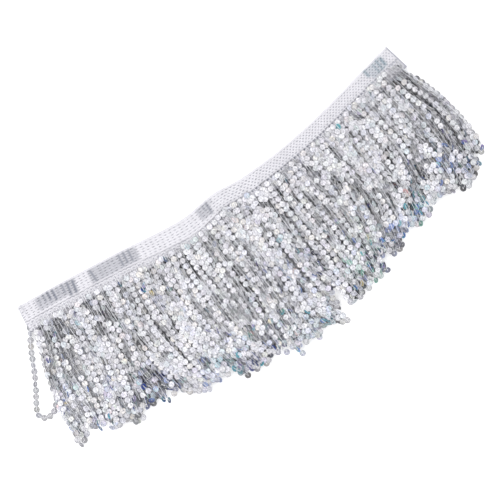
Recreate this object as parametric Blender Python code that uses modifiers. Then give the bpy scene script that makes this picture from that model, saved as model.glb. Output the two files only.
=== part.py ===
"""Sequin tassel fringe trim: a knitted heading tape and the long sequin strands that hang from it.

A length of trim lies flat with its heading at +Y and its strands pointing to -Y. It is folded
back and forth in three layers of the same plan, so the heading tape is one sheet with a turn at
each end, and each layer has its own row of strands. The origin is on the surface that the trim
lies on, under the middle of the whole piece. Sizes are in metres.
"""

import math
from bisect import bisect_right

import bmesh
import bpy
from mathutils import Vector

# Heading tape, as knitted
TAPE_WIDTH = 0.0180
TAPE_THICKNESS = 0.0010
TAPE_LENGTH = 0.914
TAPE_ROWS = 3
TAPE_BAY = 0.013
TURN_STEPS = 6
# Distance over which its direction is measured, so that its lower edge bends softly
SLOPE_REACH = 0.010

# Stack of folded layers, counted from the one that lies on the surface
LAYERS = 3
LAYER_PITCH_AT_TOP_EDGE = 0.0019
LAYER_PITCH_AT_ROOTS = 0.0027
RIPPLE_HEIGHT = 0.0012
RIPPLES = 5.4
# Where the upper layers come down past the end of the lowest one, and over what distance
SAG_START = 0.006
SAG_RUN = 0.018

# Root strip that holds the strands, parted from the tape's lower edge
SEAM_GAP = 0.0003
STRIP_WIDTH = 0.0027
STRIP_THICKNESS = 0.0014
STRIP_END_MARGIN = 0.0022
ROOT_SHARE = 0.55

# Strands: flat ribbons of sequins with a little twist
STRAND_WIDTH = 0.0036
STRAND_THICKNESS = 0.0014
STRAND_FILL = 0.80
STRAND_STATIONS = (0.10, 0.30, 0.54, 0.78, 1.0)
TWIST = math.radians(17)
TWIST_FROM_ONE_STRAND_TO_THE_NEXT = 0.9
TWIST_FROM_ONE_STATION_TO_THE_NEXT = 2.2
TIP_TAPER = 0.65
TIP_SPREAD = 0.0045
TIP_RHYTHM = 97.0

# Slow waves that neighbouring strands share
DRIFTS = (
    # sideways reach, radians along the heading, radians down a strand, share of the row's phase
    (0.0022, 19.0, 2.6, 1.0),
    (0.0009, 53.0, -3.7, 2.0),
)
DRIFT_FADE_SHARE = 0.08

# The outermost strands bow outwards
RIGHT_FLARE = 0.0065
RIGHT_FLARE_SHARE = 0.07
LEFT_FLARE = 0.0105
LEFT_FLARE_SHARE = 0.06

# The piece is moved by this, to bring the origin under its middle
PLAN_SHIFT = Vector((0.01105, 0.06957))

# Top edge of the heading, seen from above, before the shift
TOP_EDGE = (
    # along x, across y
    (-0.1600, -0.0031),
    (-0.1211, -0.0070),
    (-0.0791, -0.0120),
    (-0.0511, -0.0161),
    (-0.0287, -0.0182),
    (-0.0028, -0.0158),
    (0.0217, -0.0181),
    (0.0637, -0.0160),
    (0.0973, -0.0111),
    (0.1309, -0.0043),
    (0.1550, 0.0004),
)

# Where the strands end, by the place of their root along the tape, before the shift
TIP_LINE = (
    # share of the tape, tip x, tip y
    (0.00, -0.1838, -0.1142),
    (0.06, -0.1585, -0.1172),
    (0.15, -0.1225, -0.1186),
    (0.22, -0.0885, -0.1263),
    (0.31, -0.0585, -0.1345),
    (0.42, -0.0231, -0.1380),
    (0.52, 0.0084, -0.1399),
    (0.62, 0.0405, -0.1380),
    (0.72, 0.0703, -0.1284),
    (0.82, 0.1013, -0.1184),
    (0.92, 0.1351, -0.1110),
    (0.97, 0.1590, -0.1100),
    (1.00, 0.1768, -0.0890),
)

# Rows of strands, from the surface up
FRINGES = (
    # node, number of strands, how far the tips stop short, phase of the waves
    ("fringe_back", 62, 0.004, 2.1),
    ("fringe_middle", 54, 0.006, 4.4),
    ("fringe_front", 90, 0.000, 0.0),
)

# The one string that has slipped out at the left end and turns back under the fringe
STRAY_STRING = (
    # along x, across y, height of its underside, before the shift
    (-0.1672, -0.0290, 0.0022),
    (-0.1704, -0.0350, 0.0012),
    (-0.1738, -0.0420, 0.0004),
    (-0.1775, -0.0495, 0.0),
    (-0.1820, -0.0575, 0.0),
    (-0.1870, -0.0650, 0.0),
    (-0.1905, -0.0708, 0.0),
    (-0.1914, -0.0753, 0.0),
    (-0.1890, -0.0783, 0.0),
    (-0.1850, -0.0790, 0.0),
    (-0.1810, -0.0775, 0.0),
    (-0.1780, -0.0745, 0.0),
)
STRAY_WIDTH = 0.0036

SILVER = (0.78, 0.79, 0.84)
WHITE_YARN = (0.90, 0.89, 0.94)


def clear_scene():
    for item in list(bpy.data.objects):
        bpy.data.objects.remove(item, do_unlink=True)


def make_material(name, colour, roughness, metallic):
    material = bpy.data.materials.new(name)
    material.use_nodes = True
    shader = material.node_tree.nodes["Principled BSDF"]
    shader.inputs["Base Color"].default_value = (*colour, 1.0)
    shader.inputs["Roughness"].default_value = roughness
    shader.inputs["Metallic"].default_value = metallic
    material.diffuse_color = (*colour, 1.0)
    return material


def smooth_through(rows, place):
    """A smooth curve through the rows, whose first column is the place along it."""
    places = [row[0] for row in rows]
    last = len(rows) - 2
    i = min(max(bisect_right(places, place) - 1, 0), last)
    before, here, there, after = (rows[min(max(j, 0), last + 1)] for j in (i - 1, i, i + 1, i + 2))
    span = there[0] - here[0]
    t = (place - here[0]) / span
    values = []
    for column in range(1, len(here)):
        rise_here = (there[column] - before[column]) / (there[0] - before[0]) * span
        rise_there = (after[column] - here[column]) / (after[0] - here[0]) * span
        values.append(
            (2 * t**3 - 3 * t**2 + 1) * here[column]
            + (t**3 - 2 * t**2 + t) * rise_here
            + (3 * t**2 - 2 * t**3) * there[column]
            + (t**3 - t**2) * rise_there
        )
    return values


LEFT_END = TOP_EDGE[0][0]
RIGHT_END = TOP_EDGE[-1][0]


def on_heading(x, across):
    """Plan point on the heading: x along its top edge, and a distance across it towards the strands."""
    inside = min(max(x, LEFT_END), RIGHT_END)
    left, right = max(inside - SLOPE_REACH, LEFT_END), min(inside + SLOPE_REACH, RIGHT_END)
    slope = (smooth_through(TOP_EDGE, right)[0] - smooth_through(TOP_EDGE, left)[0]) / (right - left)
    y = smooth_through(TOP_EDGE, inside)[0] + slope * (x - inside)
    down = Vector((slope, -1.0)).normalized()
    return Vector((x, y)) + down * across + PLAN_SHIFT


def layer_pitch(across):
    """Distance between two layers' undersides: less at the heading's top edge than at the roots."""
    share = min(across / (TAPE_WIDTH + SEAM_GAP), 1.0)
    return LAYER_PITCH_AT_TOP_EDGE + (LAYER_PITCH_AT_ROOTS - LAYER_PITCH_AT_TOP_EDGE) * share


def layer_span(layer):
    """Left and right end of a layer. The one that lies on the surface stops where the length runs out."""
    if layer:
        return LEFT_END, RIGHT_END
    turns = (LAYERS - 1) * math.pi * LAYER_PITCH_AT_TOP_EDGE / 2
    rest = TAPE_LENGTH - turns - (LAYERS - 1) * (RIGHT_END - LEFT_END)
    return RIGHT_END - rest, RIGHT_END


def heading_share(x):
    return (x - LEFT_END) / (RIGHT_END - LEFT_END)


def sag(x, layer):
    """Share of one layer pitch by which a layer comes down, past the end of the one on the surface."""
    if layer == 0:
        return 0.0
    past = (layer_span(0)[0] - SAG_START - x) / SAG_RUN
    t = min(max(past, 0.0), 1.0)
    return t * t * (3 - 2 * t)


def ripple(x, layer):
    """How far the top layer lifts off the one below in soft waves, fading out at the ends."""
    if layer < LAYERS - 1:
        return 0.0
    share = min(max(heading_share(x), 0.0), 1.0)
    return RIPPLE_HEIGHT * math.sin(math.pi * share) * (0.5 + 0.5 * math.sin(2 * math.pi * RIPPLES * share))


def underside(x, across, layer):
    return (layer - sag(x, layer)) * layer_pitch(across) + ripple(x, layer)


def folded_line():
    """The tape's path in its lengthwise section, as stops with x, the layer, the share of the way up to
    the next layer and the share of the turn's bulge. It starts at the top layer's cut end at the right,
    turns under at the left, turns again at the right, and stops where the length runs out."""
    stops = []
    for layer in range(LAYERS - 1, -1, -1):
        left, right = layer_span(layer)
        bays = round((right - left) / TAPE_BAY)
        run = [(left + (right - left) * bay / bays, layer, 1.0, 0.0) for bay in range(bays + 1)]
        goes_left = (LAYERS - 1 - layer) % 2 == 0
        if goes_left:
            run.reverse()
        stops += run
        if layer:
            end, outward = (left, -1.0) if goes_left else (right, 1.0)
            for step in range(1, TURN_STEPS):
                angle = math.pi * step / TURN_STEPS
                stops.append((end, layer - 1, 0.5 + 0.5 * math.cos(angle), outward * math.sin(angle)))
    return stops


def add_grid(mesh, columns, rows, place):
    """A sheet of faces whose corner in each column and row is moved to its place."""
    bmesh.ops.create_grid(mesh, x_segments=columns - 1, y_segments=rows - 1, size=0.5)
    for corner in mesh.verts:
        column = round((corner.co.x + 0.5) * (columns - 1))
        row = round((corner.co.y + 0.5) * (rows - 1))
        corner.co = place(column, row)


def make_heading_tape(collection, material):
    """The folded line drawn across the tape's width, then given its thickness."""
    stops = folded_line()

    def place(column, row):
        x, layer, up, outward = stops[column]
        across = TAPE_WIDTH * row / TAPE_ROWS
        low = underside(x, across, layer)
        if outward:
            low += (underside(x, across, layer + 1) - low) * up
        spot = on_heading(x + outward * layer_pitch(across) / 2, across)
        return spot.x, spot.y, low + TAPE_THICKNESS / 2

    mesh = bmesh.new()
    add_grid(mesh, len(stops), TAPE_ROWS + 1, place)
    bmesh.ops.recalc_face_normals(mesh, faces=mesh.faces)
    tape = add_object("heading_tape", mesh, collection, material)
    wall = tape.modifiers.new("cloth thickness", "SOLIDIFY")
    wall.thickness = TAPE_THICKNESS
    wall.offset = 0.0
    wall.use_even_offset = True


def add_object(name, mesh, collection, material):
    data = bpy.data.meshes.new(name)
    mesh.to_mesh(data)
    mesh.free()
    data.materials.append(material)
    item = bpy.data.objects.new(name, data)
    collection.objects.link(item)
    return item


def strand_centre(x, own_share, station, shortfall, phase):
    """Plan point of a strand's centreline. It leaves its root square to the heading and drifts in slow
    waves, which neighbours share, towards its place on the tip line."""
    share = heading_share(x)
    root_depth = TAPE_WIDTH + SEAM_GAP + STRIP_WIDTH
    root = on_heading(x, root_depth)
    leaving = (on_heading(x, root_depth + STRIP_WIDTH) - root).normalized()
    reach = Vector(smooth_through(TIP_LINE, share)) + PLAN_SHIFT - root
    length = reach.length - shortfall - TIP_SPREAD * (0.5 + 0.5 * math.sin(TIP_RHYTHM * share + phase))
    tip = root + reach.normalized() * length
    handle = root + leaving * length * 0.5
    point = root * (1 - station) ** 2 + handle * 2 * station * (1 - station) + tip * station**2
    fade = math.sin(math.pi / 2 * min(own_share, 1 - own_share, DRIFT_FADE_SHARE) / DRIFT_FADE_SHARE)
    for reach_x, along, down, phases in DRIFTS:
        point.x += reach_x * math.sin(along * share + down * station + phases * phase) * station * fade
    right_flare = RIGHT_FLARE * max(0.0, (share - 1 + RIGHT_FLARE_SHARE) / RIGHT_FLARE_SHARE)
    left_flare = LEFT_FLARE * max(0.0, (LEFT_FLARE_SHARE - share) / LEFT_FLARE_SHARE)
    point.x += (right_flare - left_flare) * math.sin(math.pi * station)
    return point


def strand_section(centres, i, j, base, phase):
    """Four corners of strand i's section at station j: a flat ribbon, a little twisted, as wide as the
    space to its neighbours allows, with its lowest corner at the height of the layer's underside."""
    here = centres[i][j]
    gaps = [(centres[k][j] - here).length for k in (i - 1, i + 1) if 0 <= k < len(centres)]
    width = min(STRAND_WIDTH, STRAND_FILL * min(gaps))
    thickness = STRAND_THICKNESS
    if j == len(centres[i]) - 1:
        width *= TIP_TAPER
        thickness *= TIP_TAPER
    turn = TWIST_FROM_ONE_STRAND_TO_THE_NEXT * i + TWIST_FROM_ONE_STATION_TO_THE_NEXT * j
    twist = TWIST * math.sin(turn + phase)
    flat, upright = width / 2, thickness / 2
    half_height = flat * abs(math.sin(twist)) + upright * math.cos(twist)
    behind = centres[i][max(j - 1, 0)]
    ahead = centres[i][min(j + 1, len(centres[i]) - 1)]
    along = (ahead - behind).normalized()
    sideways = Vector((-along.y, along.x))
    corners = []
    for side, level in ((-1, -1), (1, -1), (1, 1), (-1, 1)):
        out = side * flat * math.cos(twist) - level * upright * math.sin(twist)
        rise = side * flat * math.sin(twist) + level * upright * math.cos(twist)
        place = here + sideways * out
        corners.append((place.x, place.y, base + half_height + rise))
    return corners


def make_root_strip(mesh, edges, layer):
    """The strip that holds a row of strands: a sheet between the edges, raised to its thickness. Gives
    the faces along its lower side, from left to right."""
    depth_top = TAPE_WIDTH + SEAM_GAP
    depth_low = depth_top + STRIP_WIDTH

    def place(column, row):
        across = depth_low if row else depth_top
        spot = on_heading(edges[column], across)
        return spot.x, spot.y, underside(edges[column], across, layer)

    add_grid(mesh, len(edges), 2, place)
    raised = bmesh.ops.extrude_face_region(mesh, geom=mesh.faces[:])["geom"]
    for corner in raised:
        if isinstance(corner, bmesh.types.BMVert):
            corner.co.z += STRIP_THICKNESS
    bmesh.ops.recalc_face_normals(mesh, faces=mesh.faces)
    upright = [face for face in mesh.faces if face.normal.y < -0.5]
    return sorted(upright, key=lambda face: face.calc_center_median().x)


def make_fringe(collection, material, node, count, shortfall, phase, layer):
    """A root strip whose lower side is drawn out into strands, as the teeth of a comb."""
    left_end, right_end = layer_span(layer)
    start = left_end + STRIP_END_MARGIN
    pitch = (right_end - STRIP_END_MARGIN - start) / count
    roots_x = [start + pitch * (i + 0.5) for i in range(count)]
    edges = [left_end]
    for x in roots_x:
        edges += [x - pitch * ROOT_SHARE / 2, x + pitch * ROOT_SHARE / 2]
    edges.append(right_end)
    mesh = bmesh.new()
    lower_side = make_root_strip(mesh, edges, layer)

    centres = [
        [strand_centre(x, (i + 0.5) / count, station, shortfall, phase) for station in STRAND_STATIONS]
        for i, x in enumerate(roots_x)
    ]
    for i, (x, root) in enumerate(zip(roots_x, lower_side[1::2])):
        base = (layer - sag(x, layer)) * LAYER_PITCH_AT_ROOTS
        sections = []
        for j, station in enumerate(STRAND_STATIONS):
            lift = ripple(x, layer) * (1 - station) ** 2
            sections.append(strand_section(centres, i, j, base + lift, phase))
        draw_out(mesh, root, sections)
    if node == "fringe_front":
        draw_out(mesh, lower_side[0], stray_sections())
    bmesh.ops.recalc_face_normals(mesh, faces=mesh.faces)
    add_object(node, mesh, collection, material)


def draw_out(mesh, face, sections):
    """Extrudes one upright face of a mesh through a list of sections. Each has its corners in the order
    low left, low right, high right, high left."""
    middle = face.calc_center_median()
    places = {(False, False): 0, (True, False): 1, (True, True): 2, (False, True): 3}
    order = [places[corner.co.x > middle.x, corner.co.z > middle.z] for corner in face.verts]
    for corners in sections:
        face = bmesh.ops.extrude_discrete_faces(mesh, faces=[face])["faces"][0]
        for corner, k in zip(face.verts, order):
            corner.co = corners[k]


def stray_sections():
    """Sections of the string that has slipped out, along its looped path on the surface."""
    path = [Vector(row[:2]) + PLAN_SHIFT for row in STRAY_STRING]
    sections = []
    for i, (place, row) in enumerate(zip(path, STRAY_STRING)):
        along = (path[min(i + 1, len(path) - 1)] - path[max(i - 1, 0)]).normalized()
        sideways = Vector((-along.y, along.x)) * STRAY_WIDTH / 2
        left, right = place - sideways, place + sideways
        low, high = row[2], row[2] + STRAND_THICKNESS
        sections.append(
            [
                (left.x, left.y, low),
                (right.x, right.y, low),
                (right.x, right.y, high),
                (left.x, left.y, high),
            ]
        )
    return sections


def main():
    clear_scene()
    collection = bpy.data.collections.new("sequin_fringe_trim")
    bpy.context.scene.collection.children.link(collection)
    yarn = make_material("white knitted yarn", WHITE_YARN, 0.8, 0.0)
    sequins = make_material("silver sequins", SILVER, 0.3, 0.9)
    make_heading_tape(collection, yarn)
    for layer, (node, count, shortfall, phase) in enumerate(FRINGES):
        make_fringe(collection, sequins, node, count, shortfall, phase, layer)


main()
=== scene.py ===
"""The looks of a sequin tassel fringe trim that lies folded on a pale surface.

The heading is a crochet-knitted tape, folded flat in three layers, with its raised wales on the layer
that shows. From its lower edge hang loops of flat round sequins on a chain thread, in three layers, and
one loop has slipped out at the left end. Every shape is worked out as whole arrays from a few sizes in
metres, in the frame of the solids: +X along the tape, +Y across it towards its plain edge, +Z up.
"""

import math

import bpy
import numpy as np
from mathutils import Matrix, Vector


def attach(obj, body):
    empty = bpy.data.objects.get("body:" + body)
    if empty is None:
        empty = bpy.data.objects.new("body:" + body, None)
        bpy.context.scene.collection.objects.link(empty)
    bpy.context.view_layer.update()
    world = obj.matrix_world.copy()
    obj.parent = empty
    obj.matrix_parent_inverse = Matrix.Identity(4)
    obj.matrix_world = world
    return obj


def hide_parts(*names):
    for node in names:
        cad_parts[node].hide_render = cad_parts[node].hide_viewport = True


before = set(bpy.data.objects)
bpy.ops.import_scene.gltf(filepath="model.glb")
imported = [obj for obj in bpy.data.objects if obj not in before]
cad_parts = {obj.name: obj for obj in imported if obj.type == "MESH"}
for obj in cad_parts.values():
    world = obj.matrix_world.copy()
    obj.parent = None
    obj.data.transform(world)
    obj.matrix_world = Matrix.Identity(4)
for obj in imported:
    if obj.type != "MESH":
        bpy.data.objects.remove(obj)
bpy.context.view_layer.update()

# The heading tape, with the sizes of the solids
TAPE_WIDTH = 0.0180
TAPE_LENGTH = 0.914
SEAM_GAP = 0.0003
STRIP_WIDTH = 0.0027
ROOT_DEPTH = TAPE_WIDTH + SEAM_GAP + STRIP_WIDTH
SLOPE_REACH = 0.010
LAYERS = 3
LAYER_PITCH_AT_TOP_EDGE = 0.0019
LAYER_PITCH_AT_ROOTS = 0.0027
CAD_TAPE_THICKNESS = 0.0010
RIPPLE_HEIGHT = 0.0012
RIPPLES = 5.4
SAG_START = 0.006
SAG_RUN = 0.018
PLAN_SHIFT = np.array([0.01105, 0.06957])

# Top edge of the heading, seen from above, before the shift
TOP_EDGE = (
    # along x, across y
    (-0.16, -0.0031), (-0.1211, -0.007), (-0.0791, -0.012), (-0.0511, -0.0161), (-0.0287, -0.0182),
    (-0.0028, -0.0158), (0.0217, -0.0181), (0.0637, -0.016), (0.0973, -0.0111), (0.1309, -0.0043),
    (0.155, 0.0004),
)
LEFT_END = TOP_EDGE[0][0]
RIGHT_END = TOP_EDGE[-1][0]
HEADING_SPAN = RIGHT_END - LEFT_END
STRING_LENGTH = 0.100

# Where the strings end, by the place of their root along the tape, before the shift
TIP_LINE = (
    # share of the tape, tip x, tip y
    (0.0, -0.1838, -0.1142), (0.06, -0.1585, -0.1172), (0.15, -0.1225, -0.1186), (0.22, -0.0885, -0.1263),
    (0.31, -0.0585, -0.1345), (0.42, -0.0231, -0.138), (0.52, 0.0084, -0.1399), (0.62, 0.0405, -0.138),
    (0.72, 0.0703, -0.1284), (0.82, 0.1013, -0.1184), (0.92, 0.1351, -0.111), (0.97, 0.159, -0.11),
    (1.0, 0.1768, -0.089),
)

# Slow waves that neighbouring strings share
DRIFTS = (
    # sideways reach, radians along the heading, radians down a string, share of the row's phase
    (0.0022, 19.0, 2.6, 1.0),
    (0.0009, 53.0, -3.7, 2.0),
)
DRIFT_FADE_SHARE = 0.08
RIGHT_FLARE = 0.0065
RIGHT_FLARE_SHARE = 0.07
LEFT_FLARE = 0.0105
LEFT_FLARE_SHARE = 0.06

# Depth below the top edge at which the strings come out of the tape, by share of the heading
ENTRY_LINE = (
    # share, depth
    (0.0, 0.012), (0.3, 0.0126), (0.44, 0.0134), (0.52, 0.012), (0.6, 0.0108), (0.75, 0.01), (0.9, 0.0102),
    (1.0, 0.011),
)

# How far below that line the first sequin sits
FIRST_SEQUIN = (
    # share, distance
    (0.0, 0.0044), (0.3, 0.004), (0.4, 0.002), (0.5, 0.0008), (0.9, 0.001), (1.0, 0.0008),
)

# Ragged lower edge: how much the strings stop short of the tip line, by share of the heading
TIP_NOTCHES = (
    # share, distance
    (0.0, 0.008), (0.05, 0.0075), (0.08, 0.0045), (0.12, 0.001), (0.16, 0.003), (0.24, 0.0025),
    (0.28, 0.006), (0.32, 0.004), (0.35, 0.001), (0.4, 0.0025), (0.44, 0.001), (0.48, -0.0005),
    (0.53, -0.001), (0.571, 0.003), (0.58, 0.019), (0.596, 0.02), (0.605, 0.005), (0.65, 0.002),
    (0.7, 0.003), (0.735, 0.006), (0.775, 0.001), (0.8, 0.005), (0.845, -0.0005), (0.862, 0.007),
    (0.9, 0.0045), (0.935, 0.0), (0.97, -0.001), (1.0, 0.003),
)

# Tape as it looks: seven wales down to the line where the strings come out, and a looser band under it
KNIT_SHEET_THICKNESS = 0.0006
KNIT_SHEET_ROWS = 24
KNIT_EDGE = 0.0022
BAYS_BY_LAYER = (64, 110, 360)
TURN_STEPS = 12
PLAIN_WALES = 7
LOOSE_WALES = 4
LOOSE_PITCH = 0.00165
ENTRY_SLOT = 0.0012
TIGHT_ENTRY_SLOT = 0.0003
YARN_ANGLES = 2 * np.pi * np.arange(7) / 7 + np.pi / 2
RINGS_A_STITCH = 8
# Half width as a share of the pitch, half thickness as a share of that, unevenness, lift
PLAIN_YARN = (0.62, 0.30, 0.00006, 0.00030)
LOOSE_YARN = (0.54, 0.38, 0.00016, 0.00012)
BAR_HALF_WIDTH = 0.00045
BAR_HALF_THICKNESS = 0.00026

# Length of a stitch along the tape, by x before the shift
STITCH_LENGTH = (
    # along x, length
    (-0.162, 0.0036), (-0.05, 0.0037), (0.03, 0.00305), (0.155, 0.00265),
)

# Sequins
SEQUIN_RADIUS = 0.00224
SEQUIN_HOLE = 0.00038
SEQUIN_CROWN = 0.00008
SEQUIN_PITCH = 0.00446
SEQUIN_SIDES = 10
SEQUIN_CLEARANCE = 0.00005
THREAD_RADIUS = 0.00024
LOOSE_THREAD_RADIUS = 0.00022
THREAD_OVER_DISC = 0.00020
EDGE_ON = 1.48

# Rows of strings, from the surface up
ROWS = (
    # node, loops, how far the tips stop short, phase of the waves, share of the film's colour kept under
    # painted shade (lower rows painted darker, as in the shade of the rows above)
    ("fringe_back", 60, 0.003, 2.1, 0.38),
    ("fringe_middle", 56, 0.004, 4.4, 0.84),
    ("fringe_front", 74, 0.000, 0.0, 1.00),
)

# Widths of the locks that strings hang in, and how far they pull a string aside, as a share of that
LOCK_WIDTHS = (0.0085, 0.0125, 0.0190)
LOCK_PULL = 0.035

# Extra loops where the layers leave the surface bare: at the two ends
END_LOOPS = (
    # layer, from x, to x, loops, before the shift
    (1, -0.1580, -0.1150, 13),
    (0, 0.1250, 0.1525, 8),
    (1, 0.1250, 0.1530, 8),
)

# Where the sequins lie face up (below 0) or hang on edge as long thin lines (above 0)
LIE_PATCHES = (
    # share, station, reach along, reach down, lean
    (0.172, 0.18, 0.038, 0.18, 1.1), (0.05, 0.15, 0.04, 0.22, 0.5), (0.18, 0.8, 0.025, 0.2, 0.7),
    (0.35, 0.95, 0.04, 0.08, 0.5), (0.725, 0.95, 0.04, 0.1, 0.5), (0.592, 0.66, 0.012, 0.14, 0.4),
    (0.43, 0.6, 0.025, 0.25, 0.6), (0.585, 0.15, 0.02, 0.2, 0.4), (0.64, 0.35, 0.04, 0.3, 0.4),
    (0.695, 0.8, 0.03, 0.15, 0.7), (0.765, 0.6, 0.04, 0.25, 0.8), (0.87, 0.72, 0.03, 0.22, 1.0),
    (0.945, 0.65, 0.02, 0.3, 0.8), (0.955, 0.05, 0.025, 0.22, 1.0), (0.985, -0.04, 0.035, 0.22, 1.8),
    (0.99, 0.55, 0.02, 0.3, -0.3), (0.1, 0.7, 0.03, 0.15, -0.5), (0.265, 0.65, 0.06, 0.25, -0.7),
    (0.4, 0.12, 0.1, 0.15, -0.5), (0.49, 0.3, 0.03, 0.5, -0.4), (0.565, 0.45, 0.02, 0.2, -0.6),
    (0.8, 0.35, 0.03, 0.2, -0.5), (0.83, 0.02, 0.11, 0.15, -0.5), (0.7, -0.04, 0.06, 0.1, -0.4),
    (0.6, -0.05, 0.05, 0.08, -0.4), (0.5, -0.06, 0.06, 0.09, -0.4), (0.93, 0.2, 0.02, 0.2, -0.5),
)

# Where the film flashes with colour, and the first of the two hues it flashes there
FLASH_PATCHES = (
    # share, station, reach along, reach down, chance, hue
    (0.02, 0.6, 0.02, 0.1, 0.6, 1), (0.095, 0.72, 0.015, 0.08, 0.7, 4), (0.18, 0.86, 0.035, 0.14, 0.9, 4),
    (0.255, 0.93, 0.02, 0.08, 0.8, 1), (0.305, 0.92, 0.03, 0.1, 0.8, 0), (0.35, 0.93, 0.04, 0.07, 0.6, 4),
    (0.41, 0.95, 0.04, 0.07, 0.5, 4), (0.49, 0.95, 0.05, 0.08, 0.6, 0), (0.285, 0.2, 0.012, 0.05, 0.6, 4),
    (0.592, 0.66, 0.014, 0.14, 0.9, 4), (0.545, 0.55, 0.025, 0.15, 0.4, 1),
    (0.68, 0.8, 0.045, 0.15, 0.7, 3), (0.725, 0.93, 0.03, 0.07, 0.7, 4), (0.8, 0.92, 0.03, 0.1, 0.6, 1),
    (0.845, 0.9, 0.03, 0.12, 0.7, 0), (0.93, 0.75, 0.02, 0.12, 0.5, 1), (0.795, 0.36, 0.007, 0.04, 0.9, 5),
    (0.845, 0.7, 0.007, 0.03, 0.9, 5), (0.115, -0.03, 0.007, 0.02, 0.9, 5),
    (0.305, 0.37, 0.005, 0.02, 0.9, 6), (0.285, 0.15, 0.005, 0.02, 0.9, 4),
)
HUES = (
    (0.22, 0.66, 0.76), (0.22, 0.4, 0.96), (0.58, 0.46, 0.96), (0.4, 0.78, 0.62), (0.05, 0.1, 0.42),
    (1.0, 0.36, 0.3), (1.0, 0.82, 0.36),
)
FIRST_HUE_ODDS = (0.25, 0.28, 0.17, 0.12, 0.14, 0.02, 0.02)
SECOND_HUE_ODDS = (0.25, 0.27, 0.21, 0.15, 0.08, 0.02, 0.02)

# The one string that has slipped out at the left end and turns back under the fringe
STRAY_STRING = (
    # along x, across y, height of its middle, before the shift
    (-0.161, -0.018, 0.004), (-0.164, -0.023, 0.0036), (-0.1676, -0.0287, 0.003),
    (-0.1711, -0.0345, 0.0025), (-0.1746, -0.0414, 0.002), (-0.1783, -0.0489, 0.0016),
    (-0.1828, -0.0569, 0.0014), (-0.1878, -0.0644, 0.0014), (-0.1912, -0.0703, 0.0014),
    (-0.192, -0.075, 0.0014), (-0.1894, -0.0782, 0.0014), (-0.185, -0.079, 0.0014),
    (-0.181, -0.0775, 0.0014), (-0.178, -0.0745, 0.0014), (-0.1745, -0.071, 0.0016),
    (-0.17, -0.0675, 0.002), (-0.165, -0.064, 0.0026),
)

# Strings of the layer below, seen through the plain band: grey patches with darker ribs across them
SHOW_THROUGH_PATCHES = (
    # from x, to x, to depth, darkness, before the shift
    (-0.1480, -0.1172, 0.0100, 0.44),
    (-0.1064, -0.0692, 0.0114, 0.42),
    (-0.0203, -0.0097, 0.0098, 0.40),
    (-0.0097, -0.0060, 0.0042, 0.24),
    (0.1338, 0.1475, 0.0100, 0.38),
)
SHOW_THROUGH_RIBS = (
    # x at the top, x at the bottom, from depth, to depth, darkness, before the shift
    (-0.145, -0.145, 0.001, 0.006, 0.65), (-0.1412, -0.1409, 0.0006, 0.007, 0.8),
    (-0.1376, -0.1372, 0.0004, 0.0074, 1.0), (-0.1338, -0.1335, 0.0006, 0.0092, 1.0),
    (-0.1298, -0.1296, 0.0006, 0.007, 0.6), (-0.1262, -0.126, 0.0006, 0.008, 0.85),
    (-0.1221, -0.1229, 0.001, 0.0114, 0.95), (-0.118, -0.119, 0.0014, 0.0114, 1.0),
    (-0.1042, -0.1028, 0.0012, 0.011, 0.9), (-0.1, -0.1, 0.001, 0.009, 0.4),
    (-0.0966, -0.0966, 0.001, 0.0096, 0.55), (-0.0892, -0.0892, 0.001, 0.0104, 0.4),
    (-0.0816, -0.0813, 0.001, 0.0106, 0.85), (-0.0779, -0.0776, 0.0008, 0.01, 0.9),
    (-0.074, -0.0738, 0.0008, 0.0104, 0.85), (-0.07, -0.07, 0.0014, 0.01, 0.5),
    (-0.0184, -0.0184, 0.001, 0.008, 0.55), (-0.0144, -0.0144, 0.001, 0.0066, 0.7),
    (-0.0108, -0.0119, 0.001, 0.0104, 0.8), (0.1329, 0.1327, 0.0004, 0.0066, 0.75),
    (0.1402, 0.1396, 0.0016, 0.0098, 0.7), (0.1434, 0.1428, 0.001, 0.01, 0.75),
    (0.1468, 0.146, 0.002, 0.009, 0.85),
)
RIB_HALF_WIDTH = 0.00145
RIB_SLANT_DEPTH = 0.011
GREY_BLUE = (0.30, 0.32, 0.36)
TEAL = (0.30, 0.41, 0.46)

# Camera, straight above the middle of the picture
PICTURE_MIDDLE = (0.00734, 0.00699)
PICTURE_WIDTH = 0.350
PICTURE_TURN = math.radians(-34.58)
LENS_MM = 85.0
SENSOR_MM = 36.0

# Light: the room's colours from the ground up, the lamp, and the floor's own glow
ROOM_COLOURS = ((0.0, (0.42, 0.43, 0.44)), (0.45, (0.34, 0.345, 0.355)), (0.80, (1.0, 1.0, 1.0)))
ROOM_STRENGTH = 1.56
LAMP_PLACE = (-0.25, 0.55, 1.1)
LAMP_SIZE = 0.9
LAMP_POWER = 4.6
FLOOR_GLOW = 0.32
FLOOR_REACH = 12.0


def curve_through(rows, place):
    """Smooth curve through table rows whose first column is the place: cubic pieces between two rows,
    whose slope at a row is that of the chord between its neighbours."""
    table = np.array(rows)
    at, values = table[:, 0], table[:, 1:]
    place = np.asarray(place, float)
    i = np.clip(np.searchsorted(at, place, side="right") - 1, 0, len(at) - 2)
    before, after = np.maximum(i - 1, 0), np.minimum(i + 2, len(at) - 1)
    span = (at[i + 1] - at[i])[..., None]
    t = (place - at[i])[..., None] / span
    rise_here = (values[i + 1] - values[before]) / (at[i + 1] - at[before])[..., None] * span
    rise_there = (values[after] - values[i]) / (at[after] - at[i])[..., None] * span
    return (
        (2 * t**3 - 3 * t**2 + 1) * values[i]
        + (t**3 - 2 * t**2 + t) * rise_here
        + (3 * t**2 - 2 * t**3) * values[i + 1]
        + (t**3 - t**2) * rise_there
    )


def smooth_step(low, high, value):
    t = np.clip((value - low) / (high - low), 0.0, 1.0)
    return t * t * (3 - 2 * t)


def between(start, end, soft, value):
    """1 between start and end and 0 outside, with soft edges."""
    return smooth_step(start - soft, start + soft, value) * (1 - smooth_step(end - soft, end + soft, value))


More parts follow.
